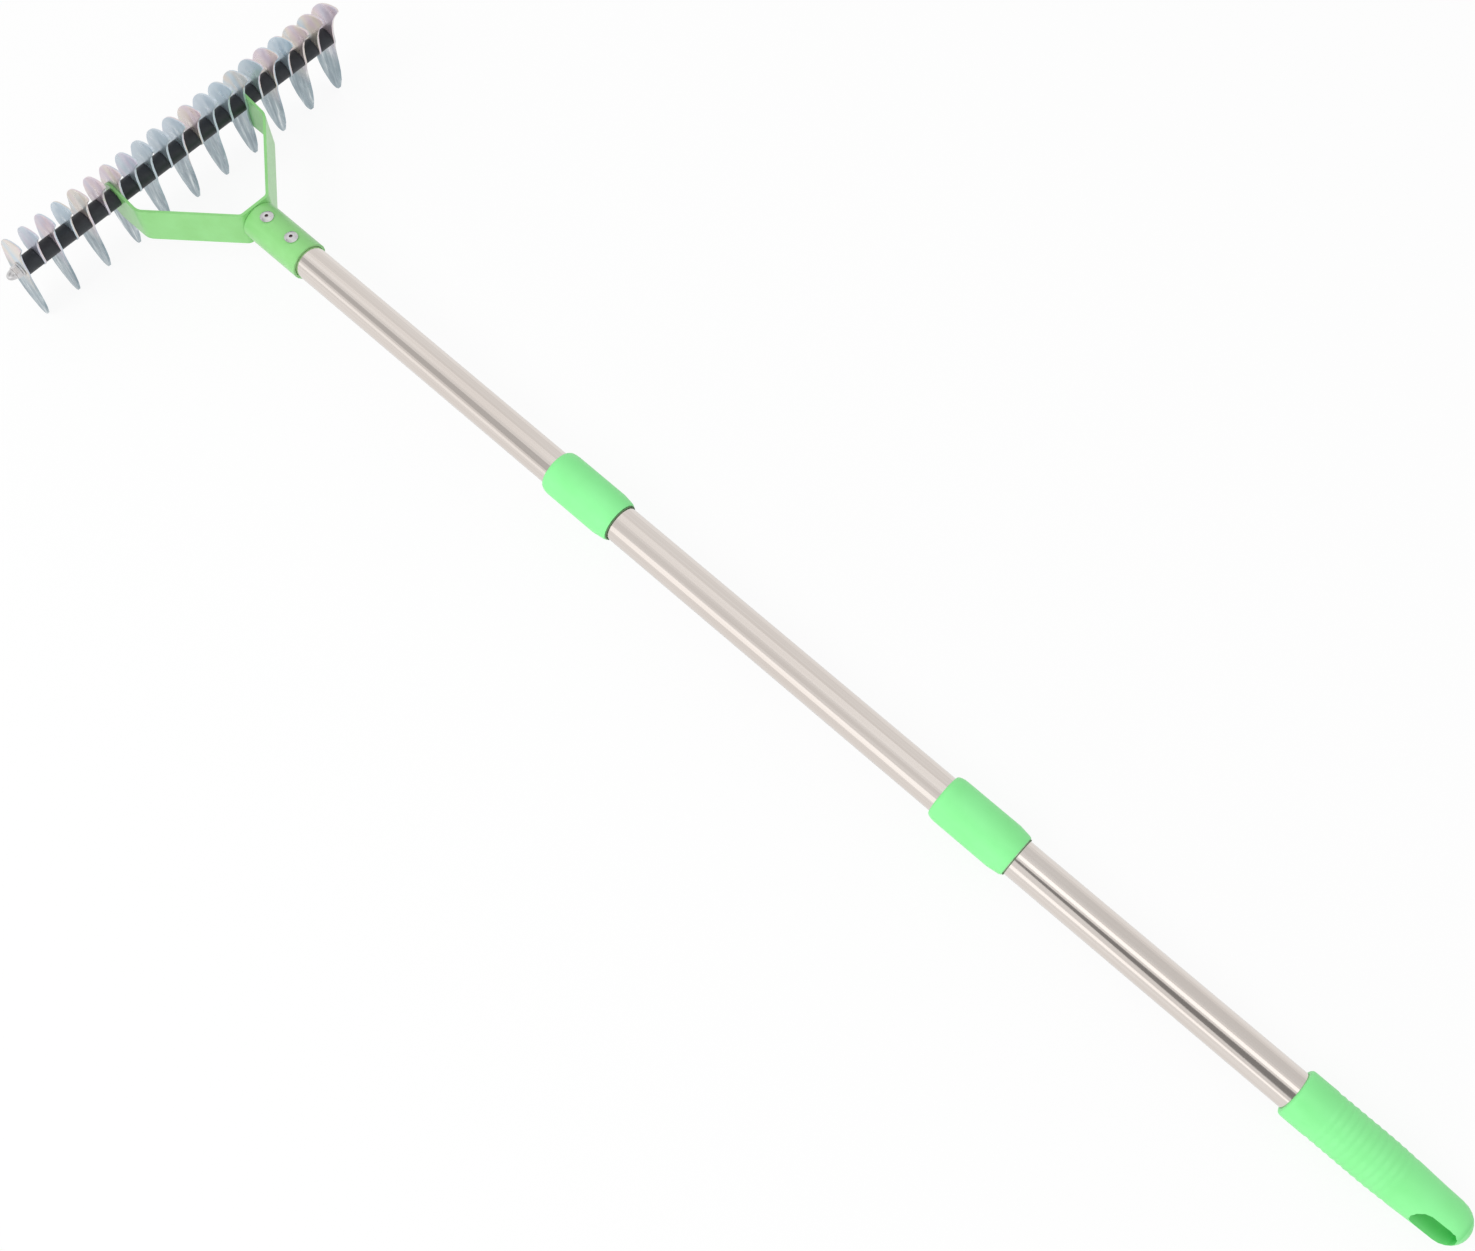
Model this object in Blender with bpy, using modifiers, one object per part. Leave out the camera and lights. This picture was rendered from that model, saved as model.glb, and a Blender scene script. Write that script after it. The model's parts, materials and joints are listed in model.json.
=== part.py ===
"""A hand dethatching rake: a comb of stamped blades on a rod, a fork, and a handle of three screwed tubes.

The rake lies as on a lawn, tines down. In the empty rake_frame, X runs along the axle, Y points forward
from the handle, Z points up out of the plane of the fork, and the origin is the middle of the axle.
"""

import bmesh
import bpy
import numpy as np
from math import acos, atan2, cos, pi, radians, sin, sqrt, tau
from mathutils import Matrix, Vector

# Clearances between pieces.
FACE_GAP = 0.0003
BORE_GAP = 0.0003

# The head: rod, blades and spacers.
BLADE_COUNT = 21
BLADE_THICKNESS = 0.0020
SPACER_LENGTH = 0.0149
SPACER_RADIUS = 0.0083
ROD_RADIUS = 0.0030
ROD_CHAMFER = 0.0006
ROD_IN_NUT = 0.0075
HEAD_RADIUS = 0.0052
HEAD_HEIGHT = 0.0026
WASHER_RADIUS = 0.0065
WASHER_THICKNESS = 0.0016
NUT_FLATS = 0.0100
NUT_HEIGHT = 0.0050
NUT_LENGTH = 0.0125
NUT_DOME_RADIUS = 0.0047
NUT_BORE_DEPTH = 0.0088

# A blade's outline, seen along the axle: a broad lobe above, a curved tine below.
RING_RADIUS = 0.0090
RING_START = 212
LOBE_RADIUS = 0.0588
LOBE_BACK = 0.0375
LOBE_RISE = -0.0055
LOBE_FRONT = 19
HORN_RADIUS = 0.0025
HORN_ANGLE = 76
HORN_START = 217
HORN_PULL = 0.0600
HEEL_RADIUS = 0.0110
HEEL_FORWARD = 0.0090
HEEL_RISE = 0.0015
TINE_DEPTH = 0.0765
TINE_FORWARD = 0.0105
TINE_END_RADIUS = 0.0080
TIP_FRONT = -45
TIP_BACK = -155
TINE_FRONT_PULL = 0.1000
TINE_TIP_PULL = 0.0900
TINE_BACK_PULL = 0.0900
TINE_ROOT_PULL = 0.0300

# The fork.
TAB_BLADE = 4
STRAP_THICKNESS = 0.0025
STRAP_WIDTH = 0.0380
EAR_RADIUS = 0.0135
TAB_CORNER = 0.0135
FOLD_BACK = 0.0302
FOLD_RADIUS = 0.0120
CROTCH_BACK = 0.0988
CROTCH_HALF = 0.0150
CROTCH_RADIUS = 0.0060

# The handle. Each length is what shows, along the handle's own axis.
HANDLE_DROP = 0.0120
UPPER_TUBE_RADIUS = 0.01535
LOWER_TUBE_RADIUS = 0.0160
TUBE_WALL = 0.0012
SOCKET_WALL = 0.00215
SOCKET_LENGTH = 0.0635
UPPER_SHOWN = 0.2999
UPPER_COUPLING_LENGTH = 0.0710
MIDDLE_SHOWN = 0.3413
LOWER_COUPLING_LENGTH = 0.0718
LOWER_SHOWN = 0.2556
COUPLING_WALL = 0.0038
COUPLING_SHOULDER_LENGTH = 0.0085
COUPLING_SHOULDER_DROP = 0.0032
COUPLING_TAPER_LENGTH = 0.0120
COUPLING_TAPER = 0.0014
COUPLING_CHAMFER = 0.0009
COUPLING_SEAT = 0.0240
MOUTH_DEPTH = 0.0170
SEAL_WALL = 0.0009
SEAL_THICKNESS = 0.0009

# The screwed joints.
THREAD_PITCH = 0.0050
THREAD_CORE = 0.0115
THREAD_CREST = 0.0132
THREAD_ROOT_WIDTH = 0.0030
THREAD_CREST_WIDTH = 0.0012
THREAD_GAP = 0.00045
THREAD_SINK = 0.0006
THREAD_RUN_OUT = 0.0020
PLUG_TIP_GAP = 0.0030
PLUG_COLLAR = 0.0020
PLUG_IN_TUBE = 0.0200
PLUG_BORE = 0.0070

# The rivets that hold the socket on the upper tube.
RIVET_INSET = 0.0146
RIVET_SPACING = 0.0310
RIVET_HEAD_RADIUS = 0.0060
RIVET_HEAD_HEIGHT = 0.0020
RIVET_SHANK_RADIUS = 0.0029
RIVET_BULB_RADIUS = 0.0038
RIVET_BULB_LENGTH = 0.0040
RIVET_HOLE_RADIUS = 0.0016
RIVET_HOLE_DEPTH = 0.0018
RIVET_SEAT_GAP = 0.0001

# The grip, on the lower tube.
GRIP_LENGTH = 0.1473
GRIP_WALL = 0.0040
GRIP_NECK_WALL = 0.0011
GRIP_TAPER_START = 0.0650
GRIP_TAPER_LENGTH = 0.0720
GRIP_EDGE = 0.0030
GRIP_DOME = 0.0170
GRIP_BAND = 0.0230
GRIP_RINGS = 12
GRIP_RING_PITCH = 0.0058
GRIP_RING_DEPTH = 0.0006
GRIP_BORE_DEPTH = 0.0890
SLOT_LENGTH = 0.0340
SLOT_WIDTH = 0.0200
SLOT_END_WALL = 0.0055
SLOT_TURN = 20

ROUND = 24
SMALL_ROUND = 16
THREAD_STEPS = 16

MATERIALS = {
    "zinc_steel": ((0.58, 0.62, 0.68), 0.32, 1.0),
    "black_plastic": ((0.012, 0.013, 0.018), 0.45, 0.0),
    "bright_steel": ((0.62, 0.61, 0.60), 0.22, 1.0),
    "stainless": ((0.60, 0.55, 0.51), 0.18, 1.0),
    "green_paint": ((0.30, 0.72, 0.28), 0.42, 0.0),
    "green_plastic": ((0.28, 0.88, 0.33), 0.36, 0.0),
    "plug_plastic": ((0.10, 0.11, 0.11), 0.50, 0.0),
    "seal_rubber": ((0.05, 0.09, 0.05), 0.70, 0.0),
}

for old in list(bpy.data.objects):
    bpy.data.objects.remove(old, do_unlink=True)

parts = bpy.data.collections.new("dethatching_rake")
cutters = bpy.data.collections.new("cutters")
bpy.context.scene.collection.children.link(parts)
bpy.context.scene.collection.children.link(cutters)


def material(name):
    found = bpy.data.materials.get(name)
    if found:
        return found
    colour, roughness, metallic = MATERIALS[name]
    made = bpy.data.materials.new(name)
    made.use_nodes = True
    shader = made.node_tree.nodes["Principled BSDF"]
    shader.inputs["Base Color"].default_value = (*colour, 1.0)
    shader.inputs["Roughness"].default_value = roughness
    shader.inputs["Metallic"].default_value = metallic
    made.diffuse_color = (*colour, 1.0)
    return made


def empty(name, parent=None, location=(0, 0, 0), rotation=(0, 0, 0)):
    made = bpy.data.objects.new(name, None)
    parts.objects.link(made)
    made.parent = parent
    made.location = location
    made.rotation_euler = rotation
    return made


def place(name, mesh, colour, parent, location=(0, 0, 0), rotation=(0, 0, 0), smooth=True):
    """Puts a mesh in the collection as one named piece."""
    made = bpy.data.objects.new(name, mesh)
    parts.objects.link(made)
    made.parent = parent
    made.location = location
    made.rotation_euler = rotation
    if colour not in [slot.name for slot in mesh.materials]:
        mesh.materials.append(material(colour))
    if smooth:
        mesh.shade_smooth()
        mesh.set_sharp_from_angle(angle=radians(35))
    return made


def cutter(name, mesh, parent, location=(0, 0, 0), rotation=(0, 0, 0)):
    made = bpy.data.objects.new(name, mesh)
    cutters.objects.link(made)
    made.parent = parent
    made.location = location
    made.rotation_euler = rotation
    made.hide_render = True
    made.display_type = "WIRE"
    return made


def combine(piece, other, operation="DIFFERENCE"):
    boolean = piece.modifiers.new(other.name, "BOOLEAN")
    boolean.operation = operation
    boolean.solver = "EXACT"
    boolean.object = other
    return boolean


def mesh_from(name, build):
    """A mesh whose faces the function build makes in a bmesh."""
    made = bpy.data.meshes.new(name)
    shape = bmesh.new()
    build(shape)
    bmesh.ops.recalc_face_normals(shape, faces=shape.faces)
    shape.to_mesh(made)
    shape.free()
    return made


def evaluated_mesh(source, name):
    """The finished mesh of a helper object, which is removed."""
    bpy.context.view_layer.update()
    graph = bpy.context.evaluated_depsgraph_get()
    made = bpy.data.meshes.new_from_object(source.evaluated_get(graph))
    made.name = name
    data = source.data
    bpy.data.objects.remove(source)
    if isinstance(data, bpy.types.Curve):
        bpy.data.curves.remove(data)
    shape = bmesh.new()
    shape.from_mesh(made)
    bmesh.ops.remove_doubles(shape, verts=shape.verts, dist=1e-6)
    bmesh.ops.recalc_face_normals(shape, faces=shape.faces)
    shape.to_mesh(made)
    shape.free()
    return made


def rod_mesh(name, radius, length, sides, chamfer=0.0):
    """A cylinder along Z, centred on the origin."""
    half = length / 2
    profile = [(0, half), (radius - chamfer, half)]
    if chamfer:
        profile += [(radius, half - chamfer), (radius, chamfer - half)]
    profile += [(radius - chamfer, -half), (0, -half)]
    return turned(name, profile, sides)


def turned(name, profile, sides=ROUND, ring=False):
    """A profile of (radius, z) points turned about Z. A ring's profile closes on itself."""
    line = bpy.data.meshes.new(name)
    shape = bmesh.new()
    corners = [shape.verts.new((r, 0, z)) for r, z in profile]
    for a, b in zip(corners, corners[1:]):
        shape.edges.new((a, b))
    if ring:
        shape.edges.new((corners[-1], corners[0]))
    shape.to_mesh(line)
    shape.free()
    helper = bpy.data.objects.new(name, line)
    cutters.objects.link(helper)
    screw = helper.modifiers.new("turn", "SCREW")
    screw.steps = sides
    screw.render_steps = sides
    screw.use_merge_vertices = True
    screw.merge_threshold = 1e-5
    made = evaluated_mesh(helper, name)
    bpy.data.meshes.remove(line)
    return made


def tube_mesh(name, outer, inner, start, end, sides=ROUND):
    """A plain tube along Z."""
    return turned(name, [(outer, end), (outer, start), (inner, start), (inner, end)], sides, ring=True)


def arc(centre, radius, first, last, steps):
    """Points on a circle from one angle to another, in degrees, ends included."""
    angles = [radians(first + (last - first) * i / steps) for i in range(steps + 1)]
    return [(centre[0] + radius * cos(a), centre[1] + radius * sin(a)) for a in angles]


def clockwise(angle):
    """The direction of travel at this angle of a circle that is followed clockwise."""
    return Vector((sin(radians(angle)), -cos(radians(angle))))


def link(start, start_angle, end, end_angle, pulls, steps):
    """The inner points of a smooth edge that leaves one circle and runs into another."""
    p0, p1 = Vector(start), Vector(end)
    m0, m1 = clockwise(start_angle) * pulls[0], clockwise(end_angle) * pulls[1]
    points = []
    for i in range(1, steps):
        t = i / steps
        first = (2 * t**3 - 3 * t**2 + 1) * p0 + (t**3 - 2 * t**2 + t) * m0
        second = (3 * t**2 - 2 * t**3) * p1 + (t**3 - t**2) * m1
        points.append(tuple(first + second))
    return points


def plate_mesh(name, outline, holes, thickness):
    """A flat plate in XY, with round holes, centred on its own thickness."""
    curve = bpy.data.curves.new(name, "CURVE")
    curve.dimensions = "2D"
    curve.fill_mode = "BOTH"
    curve.extrude = thickness / 2
    curve.render_resolution_u = 0
    for loop in [outline, *holes]:
        spline = curve.splines.new("POLY")
        spline.points.add(len(loop) - 1)
        for point, (x, y) in zip(spline.points, loop):
            point.co = (x, y, 0, 1)
        spline.use_cyclic_u = True
    helper = bpy.data.objects.new(name, curve)
    cutters.objects.link(helper)
    return evaluated_mesh(helper, name)


def blade_outline(tine):
    """Clockwise round a blade: horn, lobe, front edge, tine or heel, and back along the rod's ring."""
    lobe = (-LOBE_BACK, LOBE_RISE)
    reach = LOBE_RADIUS - HORN_RADIUS
    horn = (reach * cos(radians(HORN_ANGLE)) - LOBE_BACK, reach * sin(radians(HORN_ANGLE)) + LOBE_RISE)
    outline = arc(horn, HORN_RADIUS, HORN_START, HORN_ANGLE, 3)
    outline += arc(lobe, LOBE_RADIUS, HORN_ANGLE, LOBE_FRONT, 8)[1:]
    if tine:
        end = (TINE_FORWARD, TINE_END_RADIUS - TINE_DEPTH)
        low = arc(end, TINE_END_RADIUS, TIP_FRONT, TIP_BACK, 4)
        pulls = (TINE_FRONT_PULL, TINE_TIP_PULL)
        outline += link(outline[-1], LOBE_FRONT, low[0], TIP_FRONT, pulls, 8) + low
        ring = arc((0, 0), RING_RADIUS, RING_START, 180, 2)
        pulls = (TINE_BACK_PULL, TINE_ROOT_PULL)
        outline += link(low[-1], TIP_BACK, ring[0], RING_START, pulls, 6)
    else:
        heel = arc((HEEL_FORWARD, HEEL_RISE), HEEL_RADIUS, -20, -90, 3)
        pulls = (HEEL_RADIUS, HEEL_RADIUS)
        outline += link(outline[-1], LOBE_FRONT, heel[0], -20, pulls, 2) + heel
        ring = arc((0, 0), RING_RADIUS, 265, 180, 4)
    pulls = (HORN_PULL, HORN_PULL)
    return outline + ring + link(ring[-1], 180, outline[0], HORN_START, pulls, 5)


def thread_mesh(name, start, end, grow=0.0, start_fade=True, end_fade=True):
    """The helical ridge of a thread about Z, its root sunk in the core, its ends fading into it."""
    turns = (end - start) / THREAD_PITCH
    steps = round(turns * THREAD_STEPS)
    root = THREAD_CORE - THREAD_SINK
    half_root = THREAD_ROOT_WIDTH / 2 + grow
    half_crest = THREAD_CREST_WIDTH / 2 + grow

    def build(shape):
        rows = []
        for i in range(steps + 1):
            angle = tau * i / THREAD_STEPS
            z = start + THREAD_PITCH * i / THREAD_STEPS
            fade = 1.0
            if start_fade:
                fade = min(fade, (z - start) / THREAD_RUN_OUT)
            if end_fade:
                fade = min(fade, (end - z) / THREAD_RUN_OUT)
            crest = root + 0.0001 + (THREAD_CREST + grow - root - 0.0001) * max(fade, 0.0)
            section = [(root, -half_root), (crest, -half_crest), (crest, half_crest), (root, half_root)]
            spots = [(r * cos(angle), r * sin(angle), z + dz) for r, dz in section]
            rows.append([shape.verts.new(spot) for spot in spots])
        for a, b in zip(rows, rows[1:]):
            for j in range(4):
                k = (j + 1) % 4
                shape.faces.new((a[j], a[k], b[k], b[j]))
        shape.faces.new(rows[0][::-1])
        shape.faces.new(rows[-1])

    return mesh_from(name, build)


def rounded_path(corners, radii, steps=5):
    """A path through corners in a plane, each inner corner rounded to its bend radius."""
    path = [Vector(corners[0])]
    for before, corner, after, radius in zip(corners, corners[1:], corners[2:], radii):
        corner = Vector(corner)
        back = (Vector(before) - corner).normalized()
        on = (Vector(after) - corner).normalized()
        half = acos(back.dot(on)) / 2
        centre = corner + (back + on).normalized() * radius / sin(half)
        first = corner + back * radius * cos(half) / sin(half) - centre
        sweep = atan2(back.x * on.y - back.y * on.x, back.dot(on))
        turn = (pi - 2 * half) * (1 if sweep < 0 else -1)
        for i in range(steps + 1):
            path.append(centre + Matrix.Rotation(turn * i / steps, 2) @ first)
    path.append(Vector(corners[-1]))
    return path


# Places along the axle.
pitch = BLADE_THICKNESS + SPACER_LENGTH + 2 * FACE_GAP
tab_middle = TAB_BLADE * pitch + BLADE_THICKNESS / 2 + FACE_GAP + STRAP_THICKNESS / 2
short_spacer = SPACER_LENGTH - STRAP_THICKNESS - FACE_GAP
last_blade = (BLADE_COUNT - 1) / 2 * pitch
head_seat = last_blade + BLADE_THICKNESS / 2 + FACE_GAP
nut_seat = head_seat + WASHER_THICKNESS + FACE_GAP

# Parents. In head_axle, X is forward, Y is up and Z runs along the rod.
# In handle_axis, X runs along the axle, Y is up and Z runs from the axle to the grip.
rake_frame = empty("rake_frame")
head_axle = empty("head_axle", rake_frame, rotation=(pi / 2, 0, pi / 2))
handle_axis = empty("handle_axis", rake_frame, (0, 0, -HANDLE_DROP), (pi / 2, 0, 0))

# Rod, blades and spacers.
bore = ROD_RADIUS + BORE_GAP
hole = arc((0, 0), bore, 0, 330, 11)
tined = plate_mesh("tined_blade", blade_outline(True), [hole], BLADE_THICKNESS)
short = plate_mesh("short_blade", blade_outline(False), [hole], BLADE_THICKNESS)
for k in range(BLADE_COUNT):
    shape = short if k % 2 else tined
    place(f"blade_{k + 1:02d}", shape, "zinc_steel", head_axle, (0, 0, k * pitch - last_blade), smooth=False)

full = tube_mesh("full_spacer", SPACER_RADIUS, bore, -SPACER_LENGTH / 2, SPACER_LENGTH / 2, SMALL_ROUND)
cut_down = tube_mesh("short_spacer", SPACER_RADIUS, bore, -short_spacer / 2, short_spacer / 2, SMALL_ROUND)
for k in range(BLADE_COUNT - 1):
    z = (k + 0.5) * pitch - last_blade
    side = 1 if z > 0 else -1
    beside_tab = TAB_BLADE * pitch < abs(z) < (TAB_BLADE + 1) * pitch
    if beside_tab:
        z = side * (tab_middle + STRAP_THICKNESS / 2 + FACE_GAP + short_spacer / 2)
    mesh = cut_down if beside_tab else full
    place(f"spacer_{k + 1:02d}", mesh, "black_plastic", head_axle, (0, 0, z))

# A long bolt, its low round head on the right, a washer and a domed nut on the left.
rod_end = -nut_seat - ROD_IN_NUT
bolt = [
    (0, head_seat + HEAD_HEIGHT),
    (HEAD_RADIUS * 0.6, head_seat + HEAD_HEIGHT * 0.9),
    (HEAD_RADIUS * 0.9, head_seat + HEAD_HEIGHT * 0.6),
    (HEAD_RADIUS, head_seat + HEAD_HEIGHT * 0.2),
    (HEAD_RADIUS, head_seat),
    (ROD_RADIUS, head_seat),
    (ROD_RADIUS, rod_end + ROD_CHAMFER),
    (ROD_RADIUS - ROD_CHAMFER, rod_end),
    (0, rod_end),
]
place("axle_rod", turned("axle_rod", bolt, SMALL_ROUND), "bright_steel", head_axle)
washer = tube_mesh("washer", WASHER_RADIUS, bore, 0, WASHER_THICKNESS, SMALL_ROUND)
to_left = (pi, 0, 0)
place("washer", washer, "bright_steel", head_axle, (0, 0, -head_seat), to_left)


def hexagon(shape):
    bmesh.ops.create_cone(
        shape,
        cap_ends=True,
        segments=6,
        radius1=NUT_FLATS / 2 / cos(pi / 6),
        radius2=NUT_FLATS / 2 / cos(pi / 6),
        depth=NUT_HEIGHT,
        matrix=Matrix.Translation((0, 0, NUT_HEIGHT / 2)),
    )


dome_rise = NUT_LENGTH - NUT_HEIGHT
dome = [(0, NUT_LENGTH)]
dome += [(NUT_DOME_RADIUS * sin(a), NUT_HEIGHT + dome_rise * cos(a)) for a in np.radians((20, 40, 60, 80))]
dome += [(NUT_DOME_RADIUS, NUT_HEIGHT), (NUT_DOME_RADIUS, NUT_HEIGHT / 2), (0, NUT_HEIGHT / 2)]
nut_spot = (0, 0, -nut_seat)
nut = place("acorn_nut", mesh_from("nut_hex", hexagon), "bright_steel", head_axle, nut_spot, to_left)
cap = cutter("nut_dome", turned("nut_dome", dome, SMALL_ROUND), head_axle, nut_spot, to_left)
combine(nut, cap, "UNION")
drill = rod_mesh("nut_drill", bore, 2 * NUT_BORE_DEPTH, SMALL_ROUND)
combine(nut, cutter("nut_bore", drill, head_axle, nut_spot, to_left))

# Fork strap: a bent ribbon made solid, drilled for the rod.
strap_top = STRAP_WIDTH / 2 - HANDLE_DROP
strap_bottom = -STRAP_WIDTH / 2 - HANDLE_DROP
tab_front = EAR_RADIUS
ear = arc((0, 0), EAR_RADIUS, 0, 90, 7)
corners = [
    (tab_middle, ear[-1][0]),
    (tab_middle, -FOLD_BACK),
    (CROTCH_HALF, -CROTCH_BACK),
    (-CROTCH_HALF, -CROTCH_BACK),
    (-tab_middle, -FOLD_BACK),
    (-tab_middle, ear[-1][0]),
]
bends = [FOLD_RADIUS, CROTCH_RADIUS, CROTCH_RADIUS, FOLD_RADIUS]


def column_bottom(forward):
    into = forward - (tab_front - TAB_CORNER)
    if into <= 0:
        return strap_bottom
    return strap_bottom + TAB_CORNER - sqrt(max(TAB_CORNER**2 - into**2, 0))


def ribbon(shape):
    columns = [(tab_middle, y, top) for y, top in ear[:-1]]
    flat_from = -FOLD_BACK + FOLD_RADIUS
    for x, y in rounded_path(corners, bends):
        share = min(max((y - flat_from) / (ear[-1][0] - flat_from), 0), 1)
        columns.append((x, y, strap_top + (ear[-1][1] - strap_top) * share))
    columns += [(-tab_middle, y, top) for y, top in ear[-2::-1]]
    rows = []
    for x, y, top in columns:
        low = shape.verts.new((x, y, column_bottom(y)))
        rows.append((low, shape.verts.new((x, y, top))))
    for a, b in zip(rows, rows[1:]):
        shape.faces.new((a[0], b[0], b[1], a[1]))


strap = place("fork_strap", mesh_from("fork_strap", ribbon), "green_paint", rake_frame)
thicken = strap.modifiers.new("thickness", "SOLIDIFY")
thicken.thickness = STRAP_THICKNESS
thicken.offset = 0
thicken.use_even_offset = True
for label, side in (("left", -1), ("right", 1)):
    drill = rod_mesh("tab_drill", bore, 4 * STRAP_THICKNESS, SMALL_ROUND)
    combine(strap, cutter(f"tab_hole_{label}", drill, head_axle, (0, 0, side * tab_middle)))

# Handle socket, welded on the middle of the fork, and the upper tube inside it.
socket_start = CROTCH_BACK + STRAP_THICKNESS / 2 + FACE_GAP
socket_end = socket_start + SOCKET_LENGTH
socket_bore = UPPER_TUBE_RADIUS + BORE_GAP
socket_radius = socket_bore + SOCKET_WALL
socket_mesh = tube_mesh("handle_socket", socket_radius, socket_bore, socket_start, socket_end)
socket = place("handle_socket", socket_mesh, "green_paint", handle_axis)

upper_coupling = socket_end + UPPER_SHOWN
upper_end = upper_coupling + COUPLING_SEAT
upper_bore = UPPER_TUBE_RADIUS - TUBE_WALL
upper_mesh = tube_mesh("upper_tube", UPPER_TUBE_RADIUS, upper_bore, socket_start, upper_end)
upper = place("tube_upper", upper_mesh, "stainless", handle_axis)

# Rivets through socket and tube.
rivet_seat = socket_radius + RIVET_SEAT_GAP
rivet_top = rivet_seat + RIVET_HEAD_HEIGHT
bulb_top = upper_bore - BORE_GAP
rivet_profile = [
    (0, rivet_top - RIVET_HOLE_DEPTH),
    (RIVET_HOLE_RADIUS, rivet_top - RIVET_HOLE_DEPTH),
    (RIVET_HOLE_RADIUS, rivet_top - 0.0002),
    (RIVET_HOLE_RADIUS + 0.0007, rivet_top),
    (RIVET_HEAD_RADIUS * 0.72, rivet_top - RIVET_HEAD_HEIGHT * 0.25),
    (RIVET_HEAD_RADIUS, rivet_top - RIVET_HEAD_HEIGHT * 0.75),
    (RIVET_HEAD_RADIUS, rivet_seat),
    (RIVET_SHANK_RADIUS, rivet_seat),
    (RIVET_SHANK_RADIUS, bulb_top - 0.0006),
    (RIVET_BULB_RADIUS, bulb_top - 0.0012),
    (RIVET_BULB_RADIUS, bulb_top - RIVET_BULB_LENGTH + 0.0008),
    (0, bulb_top - RIVET_BULB_LENGTH),
]
rivet = turned("rivet", rivet_profile, SMALL_ROUND)
up = (-pi / 2, 0, 0)
for k in range(2):
    back = socket_start + RIVET_INSET + k * RIVET_SPACING
    place(f"rivet_{k + 1}", rivet, "bright_steel", handle_axis, (0, 0, back), up)
    drill = rod_mesh("rivet_drill", RIVET_SHANK_RADIUS + BORE_GAP, socket_radius, SMALL_ROUND)
    through = cutter(f"rivet_hole_{k + 1}", drill, handle_axis, (0, socket_radius, back), up)
    combine(socket, through)
    combine(upper, through)


def screwed_joint(label, start, length, fixed_radius, parent, axis, next_length):
    """A coupling on the upper tube's end, and the plug, seal and tube that screw into it."""
    thread_end = start + length - MOUTH_DEPTH
    seat = start + COUPLING_SEAT + FACE_GAP
    fixed_bore = fixed_radius + BORE_GAP
    mouth = LOWER_TUBE_RADIUS + BORE_GAP
    female = THREAD_CORE + THREAD_GAP
    outside = mouth + COUPLING_WALL
    inner = outside - COUPLING_SHOULDER_DROP
    shoulder_end = start + COUPLING_SHOULDER_LENGTH
    shoulder = [
        (inner + COUPLING_SHOULDER_DROP * x, shoulder_end + COUPLING_SHOULDER_LENGTH * y)
        for x, y in arc((0, 0), 1, 0, -90, 5)
    ]
    profile = [
        (mouth, start + length),
        (outside - COUPLING_TAPER - COUPLING_CHAMFER, start + length),
        (outside - COUPLING_TAPER, start + length - 2 * COUPLING_CHAMFER),
        (outside, start + length - COUPLING_TAPER_LENGTH),
        *shoulder,
        (fixed_bore, start),
        (fixed_bore, seat),
        (female, seat),
        (female, thread_end),
        (mouth, thread_end),
    ]
    mesh = turned(f"coupling_{label}", profile, ROUND, ring=True)
    coupling = place(f"coupling_{label}", mesh, "green_plastic", parent)
    thread_start = seat + PLUG_TIP_GAP
    groove = thread_mesh("groove", thread_start, thread_end + MOUTH_DEPTH / 2, THREAD_GAP, True, False)
    combine(coupling, cutter(f"groove_{label}", groove, parent))

    collar = thread_end + FACE_GAP
    tube_start = collar + PLUG_COLLAR + FACE_GAP
    inside = LOWER_TUBE_RADIUS - TUBE_WALL
    plug_end = tube_start + PLUG_IN_TUBE
    core = [
        (PLUG_BORE, plug_end),
        (inside - BORE_GAP, plug_end),
        (inside - BORE_GAP, collar + PLUG_COLLAR),
        (LOWER_TUBE_RADIUS, collar + PLUG_COLLAR),
        (LOWER_TUBE_RADIUS, collar),
        (THREAD_CORE, collar),
        (THREAD_CORE, thread_start + THREAD_PITCH * 0.1),
        (THREAD_CORE - 0.0010, thread_start - PLUG_TIP_GAP / 2),
        (PLUG_BORE, thread_start - PLUG_TIP_GAP / 2),
    ]
    plug_mesh = turned(f"plug_{label}", core, THREAD_STEPS, ring=True)
    plug = place(f"threaded_plug_{label}", plug_mesh, "plug_plastic", axis)
    ridge = thread_mesh("ridge", thread_start + THREAD_PITCH, thread_end - THREAD_PITCH / 2)
    combine(plug, cutter(f"ridge_{label}", ridge, axis), "UNION")

    seal_start = start + length + FACE_GAP
    seal = tube_mesh("seal", mouth + SEAL_WALL, mouth, seal_start, seal_start + SEAL_THICKNESS)
    place(f"seal_ring_{label}", seal, "seal_rubber", axis)
    tube = tube_mesh(f"{label}_tube", LOWER_TUBE_RADIUS, inside, tube_start, next_length)
    place(f"tube_{label}", tube, "stainless", axis)


middle_axis = empty("middle_section", handle_axis)
lower_axis = empty("lower_section", middle_axis)
lower_coupling = upper_coupling + UPPER_COUPLING_LENGTH + MIDDLE_SHOWN
grip_start = lower_coupling + LOWER_COUPLING_LENGTH + LOWER_SHOWN
grip_end = grip_start + GRIP_LENGTH
bore_bottom = grip_start + GRIP_BORE_DEPTH
middle_end = lower_coupling + COUPLING_SEAT
lower_end = bore_bottom - FACE_GAP
screwed_joint(
    "middle", upper_coupling, UPPER_COUPLING_LENGTH, UPPER_TUBE_RADIUS, handle_axis, middle_axis, middle_end
)
screwed_joint(
    "lower", lower_coupling, LOWER_COUPLING_LENGTH, LOWER_TUBE_RADIUS, middle_axis, lower_axis, lower_end
)

# Grip.
grip_bore = LOWER_TUBE_RADIUS + BORE_GAP
grip_widest = grip_bore + GRIP_WALL
grip_neck = grip_bore + GRIP_NECK_WALL


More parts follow.
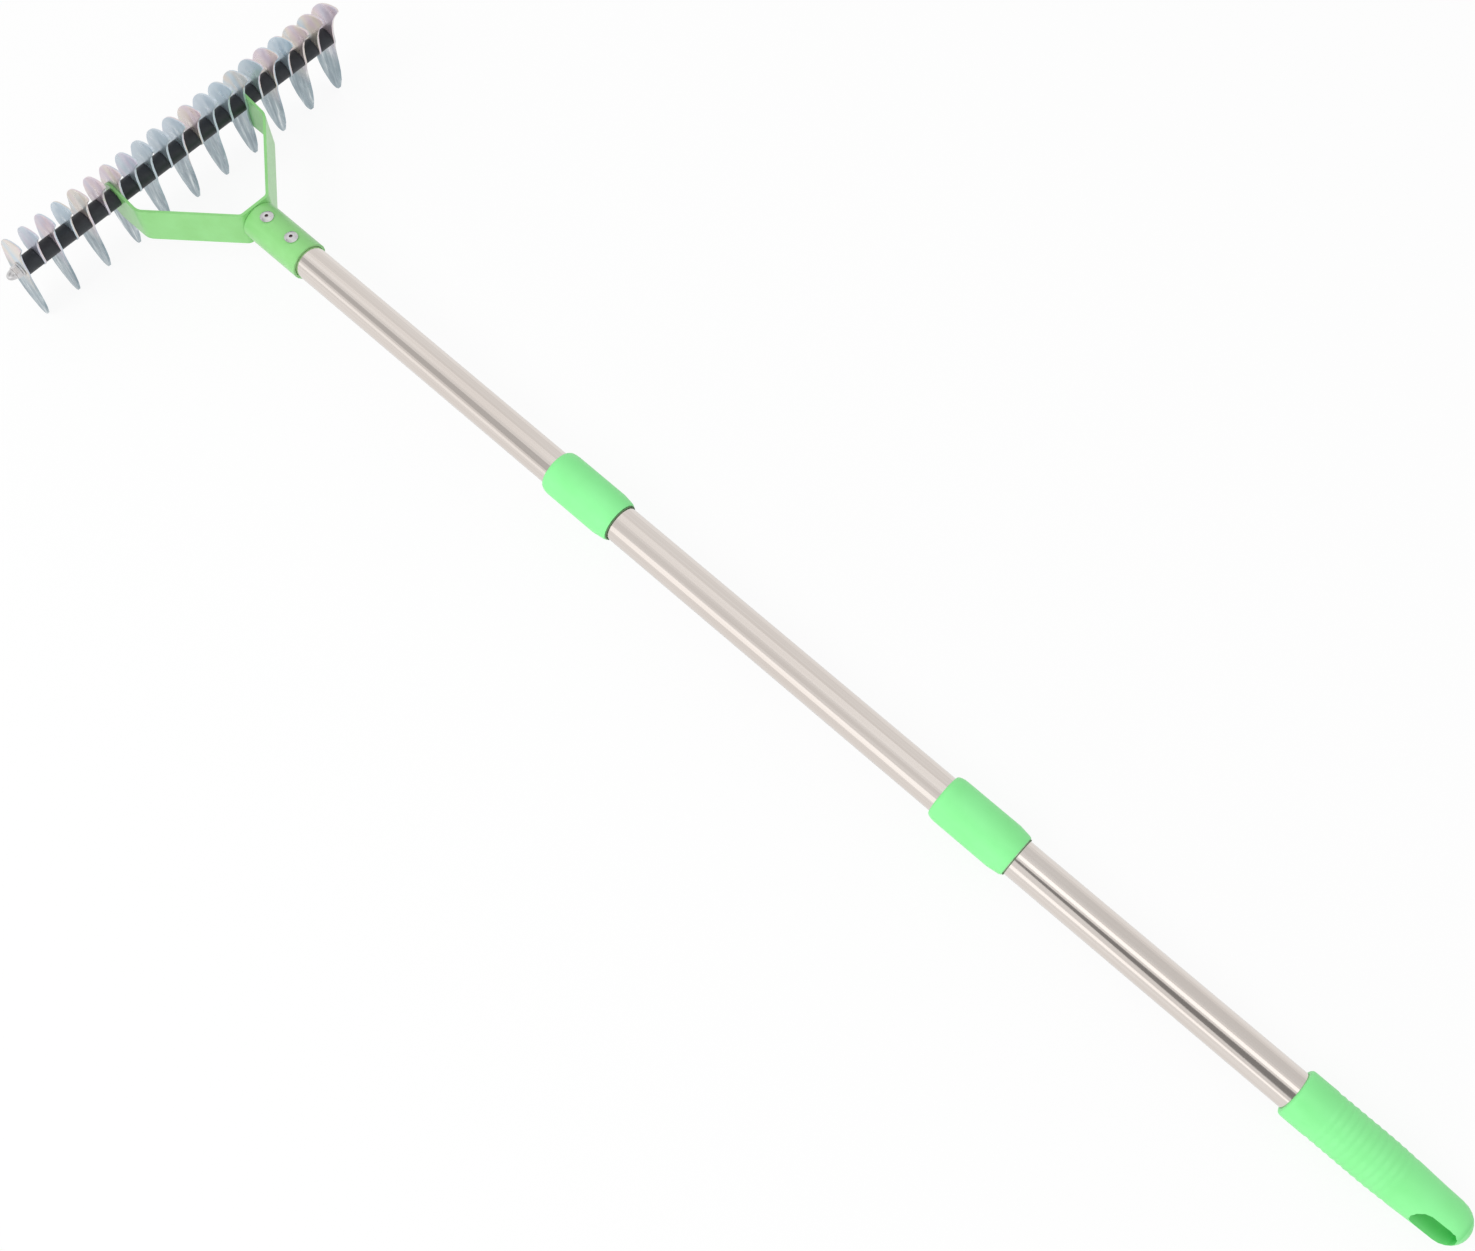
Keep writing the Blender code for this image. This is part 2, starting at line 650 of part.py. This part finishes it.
def grip_radius(back):
    share = min(max((back - grip_start - GRIP_TAPER_START) / GRIP_TAPER_LENGTH, 0), 1)
    radius = grip_widest - (grip_widest - grip_neck) * share * share * (3 - 2 * share)
    into = back - (grip_end - GRIP_DOME)
    if into > 0:
        radius *= sqrt(max(1 - (into / GRIP_DOME) ** 2, 0))
    return radius


last_ring = grip_start + GRIP_BAND + GRIP_RINGS * GRIP_RING_PITCH
backs = [grip_end - GRIP_DOME * (1 - cos(a)) for a in np.radians((0, 10, 22, 34, 46, 60, 75))]
backs += list(np.linspace(grip_end - GRIP_DOME, last_ring, 4))
outer = [(grip_radius(back), back) for back in backs]
for k in reversed(range(GRIP_RINGS)):
    groove = grip_start + GRIP_BAND + k * GRIP_RING_PITCH
    outer.append((grip_radius(groove) - GRIP_RING_DEPTH, groove + GRIP_RING_PITCH / 2))
    outer.append((grip_radius(groove), groove))
outer += arc((grip_widest - GRIP_EDGE, grip_start + GRIP_EDGE), GRIP_EDGE, 0, -90, 4)
outer += [(grip_bore, grip_start), (grip_bore, bore_bottom), (0, bore_bottom)]
outer[0] = (0, grip_end)
grip = place("grip", turned("grip", outer), "green_plastic", lower_axis)

# The slot goes right through, turned a little about the handle towards the fork's upper side.
slot_radius = SLOT_WIDTH / 2
slot_from = grip_end - SLOT_END_WALL - SLOT_LENGTH + slot_radius
slot_to = grip_end - SLOT_END_WALL - slot_radius
slot_outline = arc((slot_to, 0), slot_radius, 90, -90, 6) + arc((slot_from, 0), slot_radius, 270, 90, 6)
slot_mesh = plate_mesh("slot", slot_outline, [], 3 * grip_widest)
slot_axis = empty("slot_axis", lower_axis, (0, 0, 0), (0, 0, -radians(SLOT_TURN)))
combine(grip, cutter("hanging_slot", slot_mesh, slot_axis, (0, 0, 0), (0, -pi / 2, 0)))


def outline_points():
    """Every corner of every piece, in rake_frame's own Y and Z."""
    bpy.context.view_layer.update()
    graph = bpy.context.evaluated_depsgraph_get()
    found = []
    for piece in parts.objects:
        if piece.type != "MESH":
            continue
        turn = np.array(rake_frame.matrix_world.inverted() @ piece.matrix_world)
        shape = piece.evaluated_get(graph).to_mesh()
        spots = np.array([corner.co for corner in shape.vertices])
        found.append(spots @ turn[:3, :3].T + turn[:3, 3])
    return np.vstack(found)


# The rake rests on its tines and on the underside of its grip.
spots = outline_points()
head = spots[spots[:, 1] > -FOLD_BACK]
rear = spots[spots[:, 1] < -grip_start]


def lowest(points, angle):
    return float((points[:, 1] * sin(angle) + points[:, 2] * cos(angle)).min())


flat, steep = 0.0, radians(10)
for _ in range(40):
    tilt = (flat + steep) / 2
    if lowest(rear, tilt) > lowest(head, tilt):
        flat = tilt
    else:
        steep = tilt
forward = spots[:, 1] * cos(tilt) - spots[:, 2] * sin(tilt)
rake_frame.rotation_euler = (tilt, 0, 0)
across = (spots[:, 0].min() + spots[:, 0].max()) / 2
rake_frame.location = (-across, -(forward.min() + forward.max()) / 2, -lowest(head, tilt))
bpy.context.view_layer.update()

print("rest tilt in degrees", round(tilt * 180 / pi, 5))
print("axle centre", [round(c, 6) for c in rake_frame.matrix_world.translation])
print("handle axis through", [round(c, 6) for c in handle_axis.matrix_world.translation])
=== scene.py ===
import json
from math import atan2, cos, pi, radians, sin

import bmesh
import bpy
from mathutils import Matrix, Vector


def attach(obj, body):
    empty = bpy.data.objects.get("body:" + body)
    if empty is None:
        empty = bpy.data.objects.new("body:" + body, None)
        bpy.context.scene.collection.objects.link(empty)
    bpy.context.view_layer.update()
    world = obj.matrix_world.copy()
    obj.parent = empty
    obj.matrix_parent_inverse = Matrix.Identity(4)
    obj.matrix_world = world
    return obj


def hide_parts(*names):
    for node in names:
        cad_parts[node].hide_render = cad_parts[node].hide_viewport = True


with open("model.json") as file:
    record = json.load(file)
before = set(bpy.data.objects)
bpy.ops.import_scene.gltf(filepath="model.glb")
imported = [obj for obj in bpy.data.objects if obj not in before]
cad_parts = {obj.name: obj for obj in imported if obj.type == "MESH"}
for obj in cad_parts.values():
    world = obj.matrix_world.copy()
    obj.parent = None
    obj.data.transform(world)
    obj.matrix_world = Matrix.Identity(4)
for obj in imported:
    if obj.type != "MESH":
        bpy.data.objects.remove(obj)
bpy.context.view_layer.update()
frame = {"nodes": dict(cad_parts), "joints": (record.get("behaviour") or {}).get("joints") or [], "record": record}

# The rake's own frame: origin on the axle, X along it, Y forward, Z out of the fork's plane.
joints = {joint["name"]: joint for joint in frame["joints"]}
axle = Vector(joints["head_tilt"]["pos_m"])
to_grip = Vector(joints["middle_slide"]["axis"])
rest_tilt = atan2(-to_grip.z, -to_grip.y)
rake_frame = Matrix.Translation(axle) @ Matrix.Rotation(rest_tilt, 4, "X")

# The camera: its place and directions in the rake's own frame, and its lens and sensor in mm.
CAMERA_PLACE = (-0.418, -0.98915, 1.218)
CAMERA_RIGHT = (0.6696, -0.742, 0.0315)
CAMERA_FORWARD = (0.3107, 0.2413, -0.9194)
CAMERA_LENS = 41.07
CAMERA_SENSOR = 36.0
CAMERA_REACH = 50.0

# The floor lies just under the rake. What the camera sees of it is plain white by the share
# FLOOR_WHITE, and its lit paint for the rest. What the metal mirrors of it has one brightness.
FLOOR_REACH = 12.0
FLOOR_HEIGHT = -0.0005
FLOOR_PAINT = (0.94, 0.94, 0.94)
FLOOR_WHITE = 0.90
FLOOR_MIRRORED = 0.84
SHEET_ROUGHNESS = 0.9

# The sky's strength for the camera, and as light.
SKY_SEEN = 0.98
SKY_LIGHT = 0.76

# Each lamp: its name, its place, the point that it faces, its two sides in metres, its power.
LAMPS = [
    ("side", (-1.8, 0, 0.40), (0, 0, 0.40), (3.6, 0.78), 9.0),
    ("key", (-1.6, 0.4, 2.0), (0, 0, 0), (1.2, 1.2), 17.0),
]

# The cards that the tubes mirror, at one distance from the line along Y through the axle's middle.
# Each has its brightness and two places: how far along Y, the direction in degrees from X
# towards Z, and the half width there.
CARD_DISTANCE = 1.0
CARDS = [
    (0.50, [(0.75, 120, 0.19), (-0.12, 139, 0.36)]),
    (1.00, [(0.75, 155, 0.16), (-0.12, 180, 0.16)]),
    (0.70, [(-0.16, 129, 0.33), (-0.82, 123, 0.14)]),
    (1.12, [(-0.16, 168, 0.28), (-0.82, 168, 0.28)]),
    (0.22, [(-0.88, 124, 0.09), (-1.48, 137, 0.38)]),
    (1.18, [(-0.88, 172, 0.20), (-1.48, 180, 0.12)]),
    (1.22, [(-0.88, 97, 0.17), (-1.50, 96, 0.16)]),
    (0.64, [(-0.88, 46, 0.55), (-1.50, 46, 0.55)]),
    (0.86, [(0.75, 80, 0.35), (-0.84, 80, 0.35)]),
]

# The round pieces, whose facets are blended where they meet below this angle in degrees.
ROUND_PIECES = (
    "tube_",
    "coupling_",
    "grip",
    "handle_socket",
    "rivet_",
    "spacer_",
    "seal_ring_",
    "acorn_nut",
    "washer",
)
BLEND_ANGLE = 32
SAME_PLACE = 1e-6

# The blades. Each has its own tint by its number, and patches of other tints over it. Between
# these two heights they change from the tine's greys, below, to the tints above.
BLADE_PITCH = 0.0175
OWN_TINT = 0.75
PATCH_TINT = 0.5
TINE_HEIGHTS = (-0.034, 0.006)
ZINC_TINTS = [
    (0.20, (0.62, 0.71, 0.78)),
    (0.42, (0.66, 0.74, 0.82)),
    (0.54, (0.73, 0.70, 0.81)),
    (0.64, (0.82, 0.70, 0.76)),
    (0.74, (0.85, 0.77, 0.69)),
    (0.86, (0.64, 0.74, 0.82)),
]
TINE_TINTS = [
    (0.0, (0.24, 0.31, 0.36)),
    (0.5, (0.36, 0.45, 0.50)),
    (0.8, (0.50, 0.58, 0.62)),
    (1.0, (0.80, 0.86, 0.88)),
]

# The tubes: how much of their changes of tone comes from the fine lines.
LINE_SHARE = 0.6

# The grip, with its places as distances from the axle along the handle. The handle's axis lies
# HANDLE_DROP below the axle. Painted shade makes the slot's walls deeper green near that axis,
# and leaves them plain from the second of the two distances on. The rings' waves fade in and out
# over the two lengths.
HANDLE_DROP = 0.012
SLOT_SHADE_RADII = (0.008, 0.0155)
SLOT_END = 1.3458
SLOT_FADE = 0.001
RINGS_START = 1.2264
RINGS_END = 1.2961
RING_PITCH = 0.0058
RINGS_FADE_IN = 0.008
RINGS_FADE_OUT = 0.012
RING_HEIGHT = 0.00028

# Node settings: the noise's roughness, the depth of a fine grain, and the mix node's sockets for
# colours, which share their names with those for other kinds of value.
NOISE_ROUGHNESS = 0.55
GRAIN_DEPTH = 0.0001
MIX_INPUTS = (0, 6, 7)
MIX_OUTPUT = 2


def make_camera():
    forward = Vector(CAMERA_FORWARD).normalized()
    up = Vector(CAMERA_RIGHT).cross(forward).normalized()
    right = forward.cross(up)
    turn = Matrix((right, up, -forward)).transposed().to_4x4()
    data = bpy.data.cameras.new("camera")
    data.lens = CAMERA_LENS
    data.sensor_width = CAMERA_SENSOR
    data.clip_end = CAMERA_REACH
    camera = bpy.data.objects.new("camera", data)
    bpy.context.scene.collection.objects.link(camera)
    camera.matrix_world = rake_frame @ Matrix.Translation(CAMERA_PLACE) @ turn
    bpy.context.scene.camera = camera


class Finish:
    """A material under construction, with short ways to add and join its nodes."""

    def __init__(self, name):
        self.material = bpy.data.materials.new(name)
        self.material.use_nodes = True
        self.tree = self.material.node_tree
        self.shader = self.tree.nodes["Principled BSDF"]
        place = self.tree.nodes.new("ShaderNodeTexCoord")
        turn = self.tree.nodes.new("ShaderNodeMapping")
        turn.vector_type = "TEXTURE"
        turn.inputs["Location"].default_value = axle
        turn.inputs["Rotation"].default_value = (rest_tilt, 0, 0)
        self.tree.links.new(place.outputs["Object"], turn.inputs["Vector"])
        self.place = turn.outputs["Vector"]

    def feed(self, socket, value):
        """Joins another node's output to an input, or gives the input a fixed value."""
        if isinstance(value, bpy.types.NodeSocket):
            self.tree.links.new(value, socket)
        elif socket.type == "RGBA":
            socket.default_value = (*value, 1.0)
        else:
            socket.default_value = value

    def add(self, kind, inputs):
        node = self.tree.nodes.new(kind)
        for name, value in inputs.items():
            self.feed(node.inputs[name], value)
        return node

    def set(self, name, value):
        """Sets one property of the surface."""
        self.feed(self.shader.inputs[name], value)

    def noise(self, scale, stretch=(1, 1, 1), detail=3.0):
        """A soft noise. A larger scale or stretch makes it finer."""
        inputs = {"Vector": self.place, "Scale": stretch}
        place = self.add("ShaderNodeMapping", inputs).outputs["Vector"]
        inputs = {"Vector": place, "Scale": scale, "Detail": detail, "Roughness": NOISE_ROUGHNESS}
        return self.add("ShaderNodeTexNoise", inputs).outputs["Fac"]

    def spread(self, value, low, high, start=0.3, stop=0.7):
        """Maps what lies from start to stop onto low to high. A noise lies about in 0.3 to 0.7."""
        inputs = {
            "Value": value,
            "From Min": start,
            "From Max": stop,
            "To Min": low,
            "To Max": high,
        }
        return self.add("ShaderNodeMapRange", inputs).outputs["Result"]

    def ramp(self, value, stops):
        node = self.add("ShaderNodeValToRGB", {"Fac": value})
        points = node.color_ramp.elements
        while len(points) < len(stops):
            points.new(0.5)
        for point, (position, colour) in zip(points, stops):
            point.position = position
            point.color = (*colour, 1.0)
        return node.outputs["Color"]

    def mix(self, share, first, second):
        node = self.tree.nodes.new("ShaderNodeMix")
        node.data_type = "RGBA"
        for number, value in zip(MIX_INPUTS, (share, first, second)):
            self.feed(node.inputs[number], value)
        return node.outputs[MIX_OUTPUT]

    def math(self, operation, first, second=0.0):
        node = self.tree.nodes.new("ShaderNodeMath")
        node.operation = operation
        for socket, value in zip(node.inputs, (first, second)):
            self.feed(socket, value)
        return node.outputs["Value"]

    def from_axle(self, axis):
        """The distance from the axle's middle along one axis of the rake's own frame."""
        return self.add("ShaderNodeSeparateXYZ", {"Vector": self.place}).outputs[axis]

    def random(self, number):
        node = self.tree.nodes.new("ShaderNodeTexWhiteNoise")
        node.noise_dimensions = "1D"
        self.feed(node.inputs["W"], number)
        return node.outputs["Value"]

    def open_share(self, distance):
        """How open the surface is: less in holes and corners."""
        node = self.add("ShaderNodeAmbientOcclusion", {"Distance": distance})
        node.only_local = True
        return node.outputs["AO"]

    def drift(self, scale, first, second):
        """A colour that drifts from one to the other over the surface."""
        return self.mix(self.spread(self.noise(scale), 0.0, 1.0), first, second)

    def gloss(self, scale, low, high):
        """A roughness that drifts over the surface."""
        self.set("Roughness", self.spread(self.noise(scale), low, high))

    def bump(self, height, strength, distance=GRAIN_DEPTH, under=None):
        """Relief in the shading, over the relief under it where there is one."""
        inputs = {"Height": height, "Strength": strength, "Distance": distance}
        node = self.add("ShaderNodeBump", inputs)
        if under is not None:
            self.feed(node.inputs["Normal"], under)
        self.set("Normal", node.outputs["Normal"])
        return node.outputs["Normal"]


def zinc_steel():
    """Zinc plate with pink, yellow and blue tints, and relief as from pressing."""
    finish = Finish("zinc_steel")
    number = finish.math("FLOOR", finish.math("DIVIDE", finish.from_axle("X"), BLADE_PITCH))
    own = finish.math("MULTIPLY", finish.random(number), OWN_TINT)
    patches = finish.noise(38.0, (0.4, 1.0, 1.0), 1.5)
    hue = finish.math("ADD", own, finish.math("MULTIPLY", patches, PATCH_TINT))
    streaks = finish.spread(finish.noise(1.0, (30.0, 150.0, 26.0)), 0.0, 1.0)
    low = finish.spread(finish.from_axle("Z"), 1.0, 0.0, *TINE_HEIGHTS)
    tints = finish.ramp(hue, ZINC_TINTS)
    greys = finish.ramp(streaks, TINE_TINTS)
    finish.set("Base Color", finish.mix(low, tints, greys))
    finish.set("Metallic", 0.75)
    finish.gloss(90.0, 0.24, 0.42)
    pressed = finish.bump(finish.noise(55.0, detail=1.0), 0.35, 0.004)
    finish.bump(finish.noise(800.0), 0.15, 2 * GRAIN_DEPTH, pressed)
    return finish.material


def black_plastic():
    finish = Finish("black_plastic")
    finish.set("Base Color", finish.drift(120.0, (0.024, 0.027, 0.033), (0.036, 0.040, 0.048)))
    finish.set("Specular IOR Level", 0.35)
    finish.gloss(500.0, 0.38, 0.54)
    finish.bump(finish.noise(1500.0), 0.20)
    return finish.material


def bright_steel():
    """Plated steel, with painted shade that darkens it in holes and corners."""
    finish = Finish("bright_steel")
    plate = finish.drift(150.0, (0.66, 0.65, 0.66), (0.84, 0.83, 0.83))
    # Painted shade: a dark brownish grey, mixed in where the surface is little open, in holes and corners such as
    # the rivets' holes.
    unshaded = finish.spread(finish.open_share(0.003), 0.0, 1.0, 0.40, 0.85)
    finish.set("Base Color", finish.mix(unshaded, (0.22, 0.17, 0.17), plate))
    finish.set("Metallic", 1.0)
    finish.gloss(700.0, 0.14, 0.28)
    finish.bump(finish.noise(1200.0), 0.12)
    return finish.material


def stainless():
    """Polished tube: faint drawing lines along it, and slow changes of tone from end to end."""
    finish = Finish("stainless")
    lines = finish.noise(1.0, (420.0, 2.0, 420.0), 4.0)
    slow = finish.noise(1.0, (20.0, 3.5, 20.0), 2.0)
    fine = finish.math("MULTIPLY", lines, LINE_SHARE)
    broad = finish.math("MULTIPLY", slow, 1 - LINE_SHARE)
    tone = finish.spread(finish.math("ADD", fine, broad), 0.0, 1.0, 0.35, 0.65)
    finish.set("Base Color", finish.mix(tone, (0.80, 0.725, 0.670), (0.90, 0.835, 0.785)))
    finish.set("Metallic", 1.0)
    finish.set("Roughness", finish.spread(lines, 0.08, 0.15))
    finish.bump(lines, 0.06)
    return finish.material


def green_paint():
    finish = Finish("green_paint")
    finish.set("Base Color", finish.drift(45.0, (0.250, 0.64, 0.195), (0.285, 0.70, 0.235)))
    finish.set("Coat Weight", 0.5)
    finish.set("Coat Roughness", 0.18)
    finish.gloss(300.0, 0.30, 0.42)
    finish.bump(finish.noise(700.0, detail=2.0), 0.25, 2 * GRAIN_DEPTH)
    return finish.material


def green_plastic():
    """Moulded plastic, with painted shade that makes the slot's walls deeper green, and the grip's rings in the
    shading.
    """
    finish = Finish("green_plastic")
    along = finish.from_axle("Y")
    across = finish.math("POWER", finish.from_axle("X"), 2.0)
    rise = finish.math("ADD", finish.from_axle("Z"), HANDLE_DROP)
    from_handle = finish.math("SQRT", finish.math("ADD", across, finish.math("POWER", rise, 2.0)))
    # Painted shade: the slot's walls near the handle's axis take a deeper green, down to the slot's lower end.
    inside = finish.spread(from_handle, 1.0, 0.0, *SLOT_SHADE_RADII)
    above_end = finish.spread(along, 0.0, 1.0, -SLOT_END, -SLOT_END + SLOT_FADE)
    skin = finish.drift(30.0, (0.248, 0.88, 0.296), (0.272, 0.92, 0.330))
    slot_shade = finish.math("MULTIPLY", inside, above_end)
    finish.set("Base Color", finish.mix(slot_shade, skin, (0.060, 0.60, 0.110)))
    finish.gloss(250.0, 0.34, 0.46)
    from_start = finish.math("ADD", along, RINGS_START)
    wave = finish.math("COSINE", finish.math("MULTIPLY", from_start, 2 * pi / RING_PITCH))
    begun = finish.spread(along, 1.0, 0.0, -RINGS_START - RINGS_FADE_IN, -RINGS_START)
    ended = finish.spread(along, 0.0, 1.0, -RINGS_END, -RINGS_END + RINGS_FADE_OUT)
    uneven = finish.spread(finish.noise(60.0), 0.5, 1.0)
    zone = finish.math("MULTIPLY", finish.math("MULTIPLY", begun, ended), uneven)
    rings = finish.bump(finish.math("MULTIPLY", wave, zone), 1.0, RING_HEIGHT)
    finish.bump(finish.noise(1400.0), 0.12, under=rings)
    return finish.material


def plug_plastic():
    finish = Finish("plug_plastic")
    finish.set("Base Color", finish.drift(90.0, (0.09, 0.10, 0.10), (0.12, 0.13, 0.13)))
    finish.gloss(400.0, 0.42, 0.56)
    finish.bump(finish.noise(1200.0), 0.15)
    return finish.material


def seal_rubber():
    finish = Finish("seal_rubber")
    finish.set("Base Color", finish.drift(160.0, (0.10, 0.19, 0.09), (0.13, 0.24, 0.11)))
    finish.gloss(500.0, 0.60, 0.78)
    finish.bump(finish.noise(1500.0), 0.20)
    return finish.material


FINISHES = {
    "zinc_steel": zinc_steel,
    "black_plastic": black_plastic,
    "bright_steel": bright_steel,
    "stainless": stainless,
    "green_paint": green_paint,
    "green_plastic": green_plastic,
    "plug_plastic": plug_plastic,
    "seal_rubber": seal_rubber,
}


def blended(name, body):
    """A round piece in its solid's own shape, whose facets run into each other in the shading."""
    mesh = bpy.data.meshes.new(name + "_round")
    work = bmesh.new()
    work.from_mesh(frame["nodes"][name].data)
    bmesh.ops.remove_doubles(work, verts=work.verts, dist=SAME_PLACE)
    corners = [tuple(vert.co) for vert in work.verts]
    faces = [tuple(vert.index for vert in face.verts) for face in work.faces]
    work.free()
    mesh.from_pydata(corners, [], faces)
    mesh.shade_smooth()
    mesh.set_sharp_from_angle(angle=radians(BLEND_ANGLE))
    piece = bpy.data.objects.new(name + "_round", mesh)
    bpy.context.scene.collection.objects.link(piece)
    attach(piece, body)
    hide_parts(name)
    return piece


def dress():
    """Gives every piece its material, and puts the blended pieces in place of the round ones."""
    made = {name: build() for name, build in FINISHES.items()}
    bodies = frame["record"]["behaviour"]["bodies"]
    carrier = {node: body for body, nodes in bodies.items() for node in nodes}
    for part in frame["record"]["subparts"]:
        name = part["node"]
        slot = part["material_slot"]
        piece = frame["nodes"][name]
        if name.startswith(ROUND_PIECES):
            piece = blended(name, carrier[name])
        piece.data.materials.clear()
        piece.data.materials.append(made[slot])


def by_ray(tree, kind, other, this):
    """A value for one kind of ray, and another for all the rest."""
    path = tree.nodes.new("ShaderNodeLightPath")
    choice = tree.nodes.new("ShaderNodeMapRange")
    choice.inputs["To Min"].default_value = other
    choice.inputs["To Max"].default_value = this
    tree.links.new(path.outputs[kind], choice.inputs["Value"])
    return choice.outputs["Result"]


def sheet(name, corners, colour, glow=0.0):
    """A flat sheet of the studio: not part of the rake."""
    material = bpy.data.materials.new(name)
    material.use_nodes = True
    shader = material.node_tree.nodes["Principled BSDF"]
    shader.inputs["Base Color"].default_value = (*colour, 1.0)
    shader.inputs["Roughness"].default_value = SHEET_ROUGHNESS
    shader.inputs["Emission Strength"].default_value = glow
    mesh = bpy.data.meshes.new(name)
    mesh.from_pydata(corners, [], [tuple(range(len(corners)))])
    mesh.materials.append(material)
    made = bpy.data.objects.new(name, mesh)
    bpy.context.scene.collection.objects.link(made)
    return made


def make_floor():
    """A pale floor that is white in the picture and pale in the metal, and takes a faint shadow."""
    ends = [(-1, -1), (1, -1), (1, 1), (-1, 1)]
    corners = [(x * FLOOR_REACH, y * FLOOR_REACH, FLOOR_HEIGHT) for x, y in ends]
    floor = sheet("floor", corners, FLOOR_PAINT)
    tree = floor.data.materials[0].node_tree
    share = tree.nodes.new("ShaderNodeMath")
    share.operation = "ADD"
    tree.links.new(by_ray(tree, "Is Camera Ray", 0.0, FLOOR_WHITE), share.inputs[0])
    tree.links.new(by_ray(tree, "Is Glossy Ray", 0.0, 1.0), share.inputs[1])
    shine = tree.nodes.new("ShaderNodeEmission")
    tree.links.new(by_ray(tree, "Is Glossy Ray", 1.0, FLOOR_MIRRORED), shine.inputs["Strength"])
    join = tree.nodes.new("ShaderNodeMixShader")
    tree.links.new(share.outputs["Value"], join.inputs["Fac"])
    tree.links.new(tree.nodes["Principled BSDF"].outputs["BSDF"], join.inputs[1])
    tree.links.new(shine.outputs["Emission"], join.inputs[2])
    tree.links.new(join.outputs["Shader"], tree.nodes["Material Output"].inputs["Surface"])


def make_cards():
    """Cards above the handle, dark and bright, which only the metal mirrors, as lines on it."""
    for number, (glow, places) in enumerate(CARDS):
        edges = {-1: [], 1: []}
        for along, direction, half_width in places:
            angle = radians(direction)
            middle = Vector((cos(angle), 0, sin(angle))) * CARD_DISTANCE
            across = Vector((-sin(angle), 0, cos(angle))) * half_width
            for side, edge in edges.items():
                edge.append(rake_frame @ (middle + across * side + Vector((0, along, 0))))
        card = sheet(f"card_{number}", edges[-1] + edges[1][::-1], (0, 0, 0), glow)
        card.visible_camera = False
        card.visible_diffuse = False
        card.visible_shadow = False


def lamp(name, place, target, size, power):
    """A rectangular lamp that faces a point, and that the metal doesn't mirror."""
    data = bpy.data.lights.new(name, "AREA")
    data.shape = "RECTANGLE"
    data.size, data.size_y = size
    data.energy = power
    made = bpy.data.objects.new(name, data)
    bpy.context.scene.collection.objects.link(made)
    made.location = place
    made.rotation_euler = (Vector(target) - Vector(place)).to_track_quat("-Z", "Y").to_euler()
    made.visible_glossy = False


def make_light():
    world = bpy.data.worlds.new("studio")
    bpy.context.scene.world = world
    world.use_nodes = True
    tree = world.node_tree
    sky = tree.nodes["Background"]
    sky.inputs["Color"].default_value = (1, 1, 1, 1)
    strength = by_ray(tree, "Is Camera Ray", SKY_LIGHT, SKY_SEEN)
    tree.links.new(strength, sky.inputs["Strength"])
    for values in LAMPS:
        lamp(*values)


make_camera()
make_light()
make_floor()
make_cards()
dress()
bpy.context.scene.view_settings.view_transform = "Standard"
